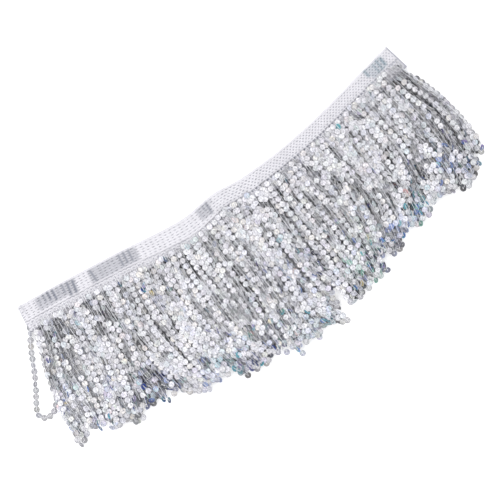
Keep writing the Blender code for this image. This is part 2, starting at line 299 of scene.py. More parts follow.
def unit(vectors):
    return vectors / np.linalg.norm(vectors, axis=-1, keepdims=True)


def raised(plan, height):
    return np.concatenate([plan, height[..., None]], -1)


def on_heading(x, across):
    """Plan points on the heading: x along its top edge and a distance square to it, towards the strings.
    The edge's slope is measured over a reach on both sides, and past an end it goes on straight."""
    inside = np.clip(x, LEFT_END, RIGHT_END)
    left = np.maximum(inside - SLOPE_REACH, LEFT_END)
    right = np.minimum(inside + SLOPE_REACH, RIGHT_END)
    rise = curve_through(TOP_EDGE, right)[..., 0] - curve_through(TOP_EDGE, left)[..., 0]
    slope = rise / (right - left)
    y = curve_through(TOP_EDGE, inside)[..., 0] + slope * (x - inside)
    size = np.sqrt(slope**2 + 1)
    return np.stack([x + slope / size * across, y - across / size], -1) + PLAN_SHIFT


def layer_pitch(across):
    share = np.minimum(across / (TAPE_WIDTH + SEAM_GAP), 1.0)
    return LAYER_PITCH_AT_TOP_EDGE + (LAYER_PITCH_AT_ROOTS - LAYER_PITCH_AT_TOP_EDGE) * share


def layer_span(layer):
    if layer:
        return LEFT_END, RIGHT_END
    turns = (LAYERS - 1) * math.pi * LAYER_PITCH_AT_TOP_EDGE / 2
    rest = TAPE_LENGTH - turns - (LAYERS - 1) * HEADING_SPAN
    return RIGHT_END - rest, RIGHT_END


def heading_share(x):
    return (x - LEFT_END) / HEADING_SPAN


def sag(x, layer):
    """Share of a layer pitch by which the upper layers come down past the end of the lowest one."""
    past = (layer_span(0)[0] - SAG_START - x) / SAG_RUN
    return np.where(np.asarray(layer) > 0, smooth_step(0, 1, past), 0.0)


def ripple(x, layer):
    share = np.clip(heading_share(x), 0.0, 1.0)
    wave = RIPPLE_HEIGHT * np.sin(np.pi * share) * (0.5 + 0.5 * np.sin(2 * np.pi * RIPPLES * share))
    return np.where(np.asarray(layer) == LAYERS - 1, wave, 0.0)


def underside(x, across, layer):
    """Height of a layer's underside: its number times the layer pitch, less the sag, plus the ripple."""
    return (layer - sag(x, layer)) * layer_pitch(across) + ripple(x, layer)


def waves(rng, count, lengths, shape):
    """Sets of sine waves for smooth random curves: a length, a phase and an equal share for each."""
    picked = rng.uniform(lengths[0], lengths[1], shape + (count,))
    return 2 * np.pi / picked, rng.uniform(0, 2 * np.pi, shape + (count,))


def wander(wave, place):
    """Sum of the waves at each place, scaled to about the spread of a normal curve."""
    rates, phases = wave
    return np.sin(place[..., None] * rates + phases).sum(-1) * math.sqrt(2 / rates.shape[-1])


def add_object(name, data):
    item = bpy.data.objects.new(name, data)
    bpy.context.scene.collection.objects.link(item)
    return item


def new_piece(name, points, material, quads, triangles=np.zeros((0, 3), int), smooth=True):
    """A mesh object from arrays of points, quads and triangles, put in with foreach_set."""
    mesh = bpy.data.meshes.new(name)
    mesh.vertices.add(len(points))
    mesh.vertices.foreach_set("co", points.astype(np.float32).ravel())
    corners = np.concatenate([quads.ravel(), triangles.ravel()]).astype(np.int32)
    mesh.loops.add(len(corners))
    mesh.loops.foreach_set("vertex_index", corners)
    mesh.polygons.add(len(quads) + len(triangles))
    starts = np.concatenate([np.arange(len(quads)) * 4, quads.size + np.arange(len(triangles)) * 3])
    mesh.polygons.foreach_set("loop_start", starts.astype(np.int32))
    mesh.update(calc_edges=True)
    mesh.polygons.foreach_set("use_smooth", np.full(len(mesh.polygons), smooth))
    mesh.materials.append(material)
    return add_object(name, mesh)


def paint(piece, name, values):
    """Puts one value a point, a number or a colour, on a piece for its material to read."""
    colour = values.ndim == 2
    layer = piece.data.attributes.new(name, "FLOAT_COLOR" if colour else "FLOAT", "POINT")
    if colour:
        values = np.concatenate([values, np.ones((len(values), 1))], 1)
    layer.data.foreach_set("color" if colour else "value", values.astype(np.float32).ravel())


def grid_faces(columns, rows, wrap=False):
    """Quads of a grid whose points run row after row. With wrap, the last point of a row joins the first."""
    across = columns if wrap else columns - 1
    column, row = np.meshgrid(np.arange(across), np.arange(rows - 1))
    here, there = row * columns + column, row * columns + (column + 1) % columns
    return np.stack([here, there, there + columns, here + columns], -1).reshape(-1, 4)


# Shader expressions


class Value:
    """A shader socket in an expression. Each operation on it adds one Math node."""

    def __init__(self, tree, socket):
        self.tree = tree
        self.socket = socket

    def math(self, operation, *values):
        return add_node(self.tree, "ShaderNodeMath", {"operation": operation}, dict(enumerate(values)))

    def __add__(self, other):
        return self.math("ADD", self, other)

    def __sub__(self, other):
        return self.math("SUBTRACT", self, other)

    def __rsub__(self, other):
        return self.math("SUBTRACT", other, self)

    def __mul__(self, other):
        return self.math("MULTIPLY", self, other)

    def __pow__(self, other):
        return self.math("POWER", self, other)

    __radd__ = __add__
    __rmul__ = __mul__

    def sine(self):
        return self.math("SINE", self)

    def clamped(self):
        return self.math("MINIMUM", self.math("MAXIMUM", self, 0.0), 1.0)


def plug(tree, socket, value):
    if isinstance(value, Value):
        tree.links.new(value.socket, socket)
    else:
        socket.default_value = value


def add_node(tree, kind, settings=None, sockets=None, output=0, stops=()):
    """Every node is made here: its type, its settings and a ramp's stops first, then the values or links
    of its sockets by name or number. It gives one of its outputs."""
    node = tree.nodes.new(kind)
    for key, value in (settings or {}).items():
        setattr(node, key, value)
    for _ in stops[2:]:
        node.color_ramp.elements.new(0.5)
    for number, (position, colour) in enumerate(stops):
        node.color_ramp.elements[number].position = position
        node.color_ramp.elements[number].color = (*colour, 1.0)
    for key, value in (sockets or {}).items():
        plug(tree, node.inputs[key], value)
    return Value(tree, node.outputs[output])


class Finish:
    """A material under construction: its tree and its shader."""

    def __init__(self, name, **constants):
        self.material = bpy.data.materials.new(name)
        self.material.use_nodes = True
        self.tree = self.material.node_tree
        self.shader = self.tree.nodes["Principled BSDF"]
        self.set(**constants)

    def node(self, kind, settings=None, output=0, **sockets):
        return add_node(self.tree, kind, settings, sockets, output)

    def mix(self, factor, first, second, blend="MIX"):
        """A colour between two colours or links."""
        first, second = (value if isinstance(value, Value) else (*value, 1.0) for value in (first, second))
        settings = {"data_type": "RGBA", "blend_type": blend}
        return add_node(self.tree, "ShaderNodeMix", settings, {0: factor, 6: first, 7: second}, 2)

    def attribute(self, name, output):
        return self.node("ShaderNodeAttribute", {"attribute_name": name}, output)

    def tinted(self, colour):
        """The colour times the piece's own tint."""
        return self.mix(1.0, colour, self.attribute("tint", 0), "MULTIPLY")

    def noise(self, scale, detail, roughness=0.5):
        place = self.node("ShaderNodeTexCoord", output=3)
        return self.node("ShaderNodeTexNoise", Vector=place, Scale=scale, Detail=detail, Roughness=roughness)

    def bump(self, height, strength, distance):
        normal = self.node("ShaderNodeBump", Height=height, Strength=strength, Distance=distance)
        self.set(Normal=normal)

    def set(self, **sockets):
        for key, value in sockets.items():
            plug(self.tree, self.shader.inputs[key.replace("_", " ")], value)


def wale_finish():
    """White yarn: twisted plies as slanted ridges along it, tinted where strings show through and painted
    darker as shade at the tape's left fold, bare line and looser band.
    """
    finish = Finish(
        "white knitting yarn", Metallic=0.0, Sheen_Weight=0.15, Sheen_Roughness=0.5, Specular_IOR_Level=0.2
    )
    ply_length = 0.0011
    fibres = finish.noise(1900.0, 3.0, 0.6)
    blotches = finish.noise(160.0, 2.0)
    along = finish.attribute("along", 2)
    plies = (along * (2 * math.pi / ply_length)).sine() * 0.5 + 0.5
    tone = (fibres * 1.3 + blotches * 0.9 + plies * 0.3 - 0.75).clamped()
    base = finish.tinted(finish.mix(tone, (0.59, 0.58, 0.615), (0.73, 0.72, 0.762)))
    finish.set(Base_Color=base, Roughness=0.86 - fibres * 0.12)
    finish.bump(plies * 0.5 + fibres * 0.5, 0.6, 0.00016)
    return finish.material


def knit_sheet_finish():
    """The tape between its raised wales: the same yarn, painted darker as the shade under the wales, with the
    fine grid of its stitches.
    """
    finish = Finish("knitted tape ground", Metallic=0.0, Sheen_Weight=0.1, Specular_IOR_Level=0.2)
    stitch_height, stitch_length = 0.00172, 0.0032
    uv = finish.node("ShaderNodeUVMap", {"uv_map": "tape"})
    along = finish.node("ShaderNodeSeparateXYZ", output=0, Vector=uv)
    across = finish.node("ShaderNodeSeparateXYZ", output=1, Vector=uv)
    rows = (across * (2 * math.pi / stitch_height)).sine()
    stitches = (along * (2 * math.pi / stitch_length) + rows * 0.8).sine()
    lattice = rows * stitches * 0.5 + 0.5
    fibres = finish.noise(1500.0, 3.0)
    tone = (lattice * 0.6 + fibres * 0.6 - 0.1).clamped()
    # Painted shade: the ground's colours are darker than the wales' yarn, so that the holes between the wales
    # show as shadow
    base = finish.tinted(finish.mix(tone, (0.34, 0.34, 0.38), (0.56, 0.56, 0.62)))
    finish.set(Base_Color=base, Roughness=0.88 - fibres * 0.08)
    finish.bump(lattice * 0.7 + fibres * 0.3, 0.6, 0.0003)
    return finish.material


def sequin_finish():
    """Silvered film: its colour comes from the piece, disc by disc, with the fine grain of the embossed
    foil, a painted shadow along the rim of discs that lie flat, where the next disc overlaps, and with a
    scuffed gloss."""
    finish = Finish("silver sequin film", Metallic=0.16, Specular_IOR_Level=0.3, Coat_Weight=0.04)
    scuffs = finish.noise(2600.0, 2.0)
    grain = finish.noise(1100.0, 1.0)
    film = finish.attribute("tint", 0)
    dull = finish.mix(1.0, film, (0.62, 0.62, 0.65), "MULTIPLY")
    foil = finish.mix((grain * 7.0 - 2.9).clamped(), dull, film)
    # Painted shadow: a dark band along the rim of discs that lie flat, where one disc overlaps the next
    rim = finish.attribute("reach", 2) ** 8
    base = finish.mix(rim * 0.94, foil, (0.04, 0.04, 0.06))
    finish.set(Base_Color=base, Roughness=0.30 + scuffs * 0.22)
    return finish.material


def thread_finish():
    finish = Finish("chain thread", Metallic=0.0, Sheen_Weight=0.1, Specular_IOR_Level=0.3)
    fibres = finish.noise(3000.0, 2.0)
    base = finish.mix(fibres, (0.68, 0.68, 0.72), (0.90, 0.90, 0.94))
    finish.set(Base_Color=base, Roughness=0.72 + fibres * 0.1)
    return finish.material


# Heading tape


def folded_stops():
    """The tape's path in its lengthwise section, finest on the layer that shows. Columns: x, layer, share
    of the way up to the next layer, bulge of a turn."""
    stops = []
    for layer in range(LAYERS - 1, -1, -1):
        left, right = layer_span(layer)
        x = np.linspace(left, right, BAYS_BY_LAYER[layer] + 1)
        goes_left = (LAYERS - 1 - layer) % 2 == 0
        x = x[::-1] if goes_left else x
        stops.append(np.stack([x, np.full_like(x, layer), np.ones_like(x), np.zeros_like(x)], 1))
        if layer:
            end, outward = (left, -1.0) if goes_left else (right, 1.0)
            angle = np.pi * np.arange(1, TURN_STEPS) / TURN_STEPS
            flat = np.ones_like(angle)
            up = 0.5 + 0.5 * np.cos(angle)
            stops.append(np.stack([end * flat, (layer - 1) * flat, up, outward * np.sin(angle)], 1))
    return np.concatenate(stops)


def entry_depth(x):
    return curve_through(ENTRY_LINE, np.clip(heading_share(x), 0.0, 1.0))[..., 0]


def entry_slot(x):
    """Width of the bare line between the plain wales and the loose ones: it opens towards the right."""
    return TIGHT_ENTRY_SLOT + (ENTRY_SLOT - TIGHT_ENTRY_SLOT) * smooth_step(0.38, 0.58, heading_share(x))


def show_through_and_shade(x, across):
    """Colour that the strings below give the plain band, as a share of its own: patches, then ribs whose
    darkness falls off from a slanting middle line as exp(-(distance / half width)^2). Then painted shade:
    at the left fold, along the bare line with its dark gaps, and over the looser band under it."""
    grey = np.zeros(np.broadcast(x, across).shape)
    share = heading_share(x)
    soft = 0.0009
    for start, end, depth, dark in SHOW_THROUGH_PATCHES:
        inside = between(start, end, soft, x) * smooth_step(0.0004, 0.0016, across)
        grey = np.maximum(grey, inside * (1 - smooth_step(depth - soft, depth + soft, across)) * dark)
    for top, bottom, start, end, dark in SHOW_THROUGH_RIBS:
        middle = top + (bottom - top) * across / RIB_SLANT_DEPTH
        rib = np.exp(-(((x - middle) / RIB_HALF_WIDTH) ** 2))
        grey = np.maximum(grey, dark * between(start, end, soft, across) * rib)
    # Painted shade along the left fold, where the tape turns under
    fold = np.exp(-(((x - LEFT_END - 0.0016 - 0.1 * across) / 0.0007) ** 2))
    grey = np.maximum(grey, 0.35 * fold * (1 - smooth_step(0.0, 0.014, across)))
    # Painted shade in the bare line between the plain and the loose wales, broken where stitches cross it
    dark = (0.20 + 0.78 * smooth_step(0.42, 0.56, share)) * (1 - smooth_step(0.90, 0.95, share))
    gaps = smooth_step(-0.3, 0.3, np.sin(2 * np.pi * stitch_turns(x)) + 0.4 * np.sin(2 * np.pi * x / 0.0113))
    past, slot = across - entry_depth(x), entry_slot(x)
    line = np.exp(-(((past - slot / 2) / (0.8 * slot)) ** 2))
    grey = np.maximum(grey, dark * line * (0.10 + 0.90 * gaps))
    # Painted shade over the looser band under the bare line, on the right half
    under = smooth_step(0.0002, 0.0010, past - slot) * smooth_step(0.36, 0.52, share)
    grey = np.maximum(grey, 0.18 * under * (1 - smooth_step(0.88, 0.94, share)))
    teal = smooth_step(0.125, 0.130, x + 0 * across)[..., None]
    below = np.array(GREY_BLUE) * (1 - teal) + np.array(TEAL) * teal
    return 1 - grey[..., None] * (1 - below)


def make_knit_sheet(material):
    """The tape as one thin folded sheet: across its width and along its path, at half the height of the
    solid's thickness, then given its own thickness."""
    stops = folded_stops()
    across = np.linspace(0.0, TAPE_WIDTH + KNIT_EDGE, KNIT_SHEET_ROWS)[:, None]
    x, layer, up, outward = (stops[None, :, k] for k in range(4))
    radius = layer_pitch(across) / 2
    plan = on_heading(x + outward * radius + 0 * across, across + 0 * x)
    low = underside(x, across, layer)
    high = underside(x, across, layer + 1)
    height = np.where(outward != 0, low + (high - low) * up, low) + CAD_TAPE_THICKNESS / 2
    points = raised(plan, height)
    step = np.linalg.norm(np.diff(points, axis=1), axis=-1)
    along = np.concatenate([np.zeros_like(across), np.cumsum(step, 1)], 1)
    faces = grid_faces(len(stops), KNIT_SHEET_ROWS)[:, ::-1]
    piece = new_piece("knit_sheet", points.reshape(-1, 3), material, faces)
    uv = np.stack([along.ravel(), np.broadcast_to(across, along.shape).ravel()], 1)
    corners = np.empty(len(piece.data.loops), np.int32)
    piece.data.loops.foreach_get("vertex_index", corners)
    piece.data.uv_layers.new(name="tape").data.foreach_set("uv", uv[corners].astype(np.float32).ravel())
    top_layer = np.broadcast_to(layer, along.shape) == LAYERS - 1
    paint(piece, "tint", np.where(top_layer[..., None], show_through_and_shade(x, across), 1.0).reshape(-1, 3))
    wall = piece.modifiers.new("thickness", "SOLIDIFY")
    wall.thickness = KNIT_SHEET_THICKNESS
    wall.offset = 0.0
    return piece


def stitch_turns(x):
    """How many stitches lie to the left of x: the sum of 1 / stitch length along the tape."""
    fine = np.linspace(STITCH_LENGTH[0][0], STITCH_LENGTH[-1][0], 400)
    rate = 1 / curve_through(STITCH_LENGTH, fine)[..., 0]
    turns = np.concatenate([[0], np.cumsum((rate[1:] + rate[:-1]) / 2 * np.diff(fine))])
    return np.interp(x, fine, turns)


def yarn_rings(x, across, lift, aside, half_width, flatness):
    """Yarn on the layer that shows: its middle line and the rings of its oval section. Aside is the plan
    place of a line beside it, and flatness the share of its width that its thickness is."""
    height = underside(x, across, LAYERS - 1) + CAD_TAPE_THICKNESS / 2 + KNIT_SHEET_THICKNESS / 2 + lift
    line = on_heading(x, across)
    path = raised(line, height)
    sideways = unit(on_heading(*aside) - line)
    out = np.cos(YARN_ANGLES)[:, None] * half_width[:, None, None] * sideways[:, None, :]
    up = np.sin(YARN_ANGLES) * half_width[:, None] * flatness
    return path, path[:, None, :] + raised(out, up)


def make_wales(material):
    """The raised yarn of the layer that shows: thick yarns side by side along the tape. Once a stitch all
    of them narrow at the same place, as neck * max(0, sin(turns along the tape))^2, so small holes open
    between them in columns. To the right neighbours wave apart instead, so that the holes lie in a brick
    pattern. Each is a tube with an oval section, whose centre line is depth = middle + swing * sin(turns +
    start)^5. The first one is the plain edge, and those below the strings' line are looser. Short yarns
    cross the bare line between the two, one a stitch."""
    rng = np.random.default_rng(5)
    round_end = 0.0009
    fine = np.linspace(LEFT_END - round_end, RIGHT_END - 0.0002, 4000)
    stitches = stitch_turns(fine) - stitch_turns(fine[0])
    x = np.interp(np.arange(0, stitches[-1], 1 / RINGS_A_STITCH), stitches, fine)
    turns = 2 * np.pi * np.arange(len(x)) / RINGS_A_STITCH
    past = np.clip((LEFT_END - x) / 0.00095, 0, 1)
    entry = entry_depth(x)
    right = smooth_step(0.42, 0.60, heading_share(x))
    rings, shades, lengths = [], [], []
    for number in range(PLAIN_WALES + LOOSE_WALES):
        uneven = wander(waves(rng, 5, (0.004, 0.03), ()), x)
        if number < PLAIN_WALES:
            share, flatness, roam, lift = PLAIN_YARN
            pitch, start = entry / PLAIN_WALES, 0.0
            swing = (0.12 + 0.28 * right) * (number > 0)
            turn = turns + np.pi * (number + 0.5) + 0.30 * uneven
            neck = 0.42 * (1 - 0.8 * right) * np.maximum(0.0, np.sin(turns + 0.10 * uneven)) ** 2
            share = share - 0.07 * right
        else:
            share, flatness, roam, lift = LOOSE_YARN
            pitch, start = LOOSE_PITCH, entry + entry_slot(x) - PLAIN_WALES * LOOSE_PITCH
            swing, neck = 0.30, 0.0
            turn = turns + np.pi * number + 0.30 * uneven
        across = start + pitch * (number + 0.5) + pitch * swing * np.sin(turn) ** 5 + roam * uneven
        across = np.maximum(across, 0.00055)
        half_width = pitch * share * (1 + 0.03 * uneven - neck)
        lift = lift + 0.00010 * np.sin(2 * turn + 0.8) - round_end * (1 - np.sqrt(1 - past**2))
        path, ring = yarn_rings(x, across, lift, (x, across + 0.001), half_width, flatness)
        rings.append(ring)
        shades.append(show_through_and_shade(x[:, None], across[:, None] + np.cos(YARN_ANGLES) * half_width[:, None]))
        lengths.append(run_length(path)[:, None] + 0.0006 * np.sin(YARN_ANGLES))
    t = np.linspace(-0.5, 0.5, 5)
    half_width = np.full_like(t, BAR_HALF_WIDTH)
    fine = np.linspace(LEFT_END + 0.40 * HEADING_SPAN, RIGHT_END - 0.008, 2000)
    stitches = stitch_turns(fine)
    for place in np.interp(np.arange(math.ceil(stitches[0]), stitches[-1]), stitches, fine):
        x = place + rng.uniform(0.0004, 0.0012) * t
        across = entry_depth(x) + entry_slot(x) / 2 + (entry_slot(x) + 0.0012) * t
        flatness = BAR_HALF_THICKNESS / BAR_HALF_WIDTH
        rings.append(yarn_rings(x, across, 0.0003, (x - 0.001, across), half_width, flatness)[1])
        shades.append(np.ones((len(t), len(YARN_ANGLES), 3)))
        lengths.append(0.001 * t[:, None] + 0 * YARN_ANGLES)
    return tubes("wales", rings, material, tint=shades, along=lengths)


def tubes(name, rings, material, **values):
    """Closed tubes in one piece from rings of points, with a middle point to close each end. Each ring
    runs round in the direction that turns its faces outwards."""
    points, quads, caps, carried = [], [], [], {key: [] for key in values}
    start = 0
    for number, ring in enumerate(rings):
        length, sides = ring.shape[:2]
        points += [ring.reshape(-1, 3), ring[[0, -1]].mean(1)]
        k = np.arange(sides)
        after = (k + 1) % sides
        top, first = (length - 1) * sides, length * sides
        quads.append(start + grid_faces(sides, length, wrap=True))
        caps.append(start + np.stack([after, k, 0 * k + first], 1))
        caps.append(start + np.stack([top + k, top + after, 0 * k + first + 1], 1))
        for key, series in values.items():
            at = series[number]
            carried[key] += [at.reshape((-1,) + at.shape[2:]), at[[0, -1]].mean(1)]
        start += length * sides + 2
    piece = new_piece(name, np.concatenate(points), material, np.concatenate(quads), np.concatenate(caps))
    for key, parts in carried.items():
        paint(piece, key, np.concatenate(parts))
    return piece


# Strings of sequins


def string_line(x):
    """Root of a string, the way it leaves the heading, and the way and distance to the tip line."""
    root = on_heading(x, np.full_like(x, ROOT_DEPTH))
    leaving = unit(on_heading(x, np.full_like(x, ROOT_DEPTH + STRIP_WIDTH)) - root)
    reach = curve_through(TIP_LINE, heading_share(x)) + PLAN_SHIFT - root
    full = np.linalg.norm(reach, axis=-1, keepdims=True)
    return root, leaving, reach / full, full


def drift(share, s, phase):
    """Sideways shift of a string by the slow waves, before they fade in down the string."""
    shift = 0.0
    for reach_x, along, down, phases in DRIFTS:
        shift = shift + reach_x * np.sin(along * share + down * s + phases * phase)
    return shift


def string_plan(x, own_share, station, shortfall, phase):
    """Plan points of a string's middle line, as the solids have it: a curve with one bend from the root,
    square to the heading, to the tip line, moved sideways by slow shared waves. Stations below 0 go on
    straight above the root."""
    share = heading_share(x)
    root, leaving, heading, full = string_line(x)
    length = full - shortfall
    tip = root + heading * length
    handle = root + leaving * length * 0.5
    s = np.maximum(station, 0.0)[..., None]
    point = root * (1 - s) ** 2 + handle * 2 * s * (1 - s) + tip * s**2
    point = point + leaving * length * np.minimum(station, 0.0)[..., None]
    from_end = np.clip(np.minimum(own_share, 1 - own_share), 0, DRIFT_FADE_SHARE)
    fade = np.sin(np.pi / 2 * from_end / DRIFT_FADE_SHARE)
    s = s[..., 0]
    shift = drift(share, s, phase) * s * fade
    right_flare = RIGHT_FLARE * np.maximum(0.0, (share - 1 + RIGHT_FLARE_SHARE) / RIGHT_FLARE_SHARE)
    left_flare = LEFT_FLARE * np.maximum(0.0, (LEFT_FLARE_SHARE - share) / LEFT_FLARE_SHARE)
    shift = shift + (right_flare - left_flare) * np.sin(np.pi * s)
    point[..., 0] += shift
    return point


def patch_weights(table, share, station):
    """Weight of each patch at each place: its fifth value times exp(-(distance along / reach)^2 -
    (distance down / reach)^2)."""
    at = np.array(table)
    along = (share[..., None] - at[:, 0]) / at[:, 2]
    down = (station[..., None] - at[:, 1]) / at[:, 3]
    return np.exp(-(along**2) - down**2) * at[:, 4]


def clumps(share, station, rng):
    """A smooth random field over the fringe, long down the strings and short across them, so that
    neighbouring strings turn edge-on together. It is a sum of plane waves."""
    count = 14
    across = 2 * np.pi * HEADING_SPAN / rng.uniform(0.007, 0.022, count)
    down = 2 * np.pi * STRING_LENGTH / rng.uniform(0.030, 0.110, count) * rng.choice([-1, 1], count)
    phases = rng.uniform(0, 2 * np.pi, count)
    turns = share[..., None] * across + station[..., None] * down + phases
    return np.sin(turns).sum(-1) * math.sqrt(2 / count)


def locks(share, station, rng):
    """Strings hang together in locks: the sideways shift of a wave, and how high the lock's middle rises.
    Where shift is -cos(u), the strings crowd together at sin(u) = 1."""
    shift, rise = 0.0, 0.0
    around = share * 2 * np.pi * HEADING_SPAN
    for width in LOCK_WIDTHS:
        slant = rng.uniform(-2.2, 2.2)
        swell = 0.5 + 0.5 * np.sin(around / (width * 3.1) + rng.uniform(0, 6.28))
        u = around / width + slant * station + rng.uniform(0, 6.28)
        shift = shift - swell * np.cos(u) * width * LOCK_PULL
        rise = rise + swell * np.sin(u) / 3
    return shift, rise


def loop_paths(layer, loops, shortfall, phase, rng):
    """Middle lines of a row's loops. A loop comes out of the tape, runs down, turns at its tip and runs up
    again beside itself. With t from -1 to 1 it is down the string as 1 - sqrt(t^2 + e^2) and to the side
    as t / sqrt(t^2 + e^2), and its two legs cross on the way."""
    left, right = layer_span(layer)
    margin = 0.0026
    x = left + margin + (np.arange(loops) + 0.5) / loops * (right - left - 2 * margin)
    for extra_layer, start, end, extra in END_LOOPS:
        if extra_layer == layer:
            x = np.concatenate([x, start + (np.arange(extra) + 0.5) / extra * (end - start)])
    loops = len(x)
    x = x + rng.uniform(-0.0007, 0.0007, loops)
    own_share = np.clip((x - left) / (right - left), 0, 1)
    share = heading_share(x)
    full = string_line(x)[3][:, 0]
    spread = rng.uniform(0.0, 1.0, loops)
    tip_share = share + drift(share, 1.0, phase) / HEADING_SPAN
    notch = curve_through(TIP_NOTCHES, np.clip(tip_share, 0, 1))[:, 0]
    out = rng.uniform(0.002, 0.007, loops)
    out = out * (rng.random(loops) < 0.14 + 0.08 * smooth_step(0.65, 0.8, share))
    short = shortfall + notch + 0.0088 * spread**1.7 - out
    t = np.linspace(-1, 1, 241)
    turn = 0.020
    bend = np.sqrt(t**2 + turn**2)
    below = (bend - turn) / (bend[0] - turn)
    start = (entry_depth(x) + 0.0003 - ROOT_DEPTH) / full
    station = 1 - below[None, :] * (1 - start[:, None])
    side = t / bend
    plan = string_plan(x[:, None], own_share[:, None], station, short[:, None, None], phase)
    tangent = np.gradient(plan, axis=1) * np.where(t < 0, 1.0, -1.0)[None, :, None]
    middle = len(t) // 2
    tangent[:, middle - 2 : middle + 3] = tangent[:, middle - 4 : middle - 3]
    tangent = unit(tangent)
    sideways = np.stack([-tangent[..., 1], tangent[..., 0]], -1)
    down = np.clip(station, 0, 1)
    crossings = rng.choice([0.0, 0.5, 1.0], loops, p=[0.5, 0.35, 0.15])[:, None]
    weave = np.cos(2 * np.pi * crossings * (1 - down))
    gap = 0.00105 + 0.0004 * rng.uniform(0, 1, loops)[:, None] + 0.0004 * down
    sway = 0.0009 * wander(waves(rng, 3, (0.05, 0.16), (loops, 1)), 0.1 * down) * down
    leg = np.where(t < 0, 0.0, 0.5)[None, :]
    sway_leg = 0.00045 * wander(waves(rng, 3, (0.02, 0.07), (loops, 1)), 0.1 * down + leg) * down
    lock_shift, lock_rise = locks(share[:, None], station, np.random.default_rng(40 + layer))
    fade = smooth_step(0.0, 0.06, np.minimum(share, 1 - share))[:, None] * smooth_step(-0.1, 0.4, station)
    over = side[None, :] * gap * weave + sway + sway_leg + lock_shift * fade
    plan = plan + sideways * over[..., None]
    rest = (layer - sag(x, layer))[:, None] * LAYER_PITCH_AT_ROOTS
    lift = ripple(x, layer)[:, None] * (1 - down) ** 2
    depth = 0.0006 + 0.0012 * rng.uniform(0, 1, loops)[:, None] + 0.0011 * lock_rise * fade
    depth = depth + 0.0005 * side[None, :] * np.sin(2 * np.pi * crossings * (1 - down))
    depth = depth + 0.0004 * wander(waves(rng, 2, (0.03, 0.08), (loops, 1)), 0.1 * down)
    over_band = 0.0017 * (1 - smooth_step(-0.02, 0.08, station)) if layer == LAYERS - 1 else 0.0
    height = rest + lift + np.maximum(depth, 0.0002) + over_band
    return raised(plan, height), station, share


def run_length(path):
    return np.concatenate([[0], np.cumsum(np.linalg.norm(np.diff(path, axis=0), axis=1))])


def along_path(path, run, places):
    """Points at the given distances along a path, and its direction at each."""
    steps = places + np.array([[0.0], [0.001], [-0.001]])
    here, ahead, behind = np.stack([np.interp(steps, run, path[:, k]) for k in range(3)], -1)
    return here, ahead - behind


def side_and_up(tangents):
    """The level axis square to each tangent, and the one square to both."""
    side = unit(np.cross(np.array([0.0, 0.0, 1.0]), tangents))
    return side, np.cross(tangents, side)


def spokes(sides, start, first, second):
    """From the middle to the corners of a polygon: cos(angle) * first + sin(angle) * second."""
    angle = 2 * np.pi * (np.arange(sides) + start) / sides
    return np.cos(angle)[:, None] * first[:, None, :] + np.sin(angle)[:, None] * second[:, None, :]


def string_frames(tangents, roll, nod):
    """Axes of each disc: its normal turns round the string by roll and dips along it by nod."""
    tangents = unit(tangents)
    side, up = side_and_up(tangents)
    normal = np.cos(roll)[:, None] * up + np.sin(roll)[:, None] * side
    flat = np.cross(normal, tangents)
    length = np.cos(nod)[:, None] * tangents + np.sin(nod)[:, None] * normal
    normal = np.cos(nod)[:, None] * normal - np.sin(nod)[:, None] * tangents
    return flat, length, normal


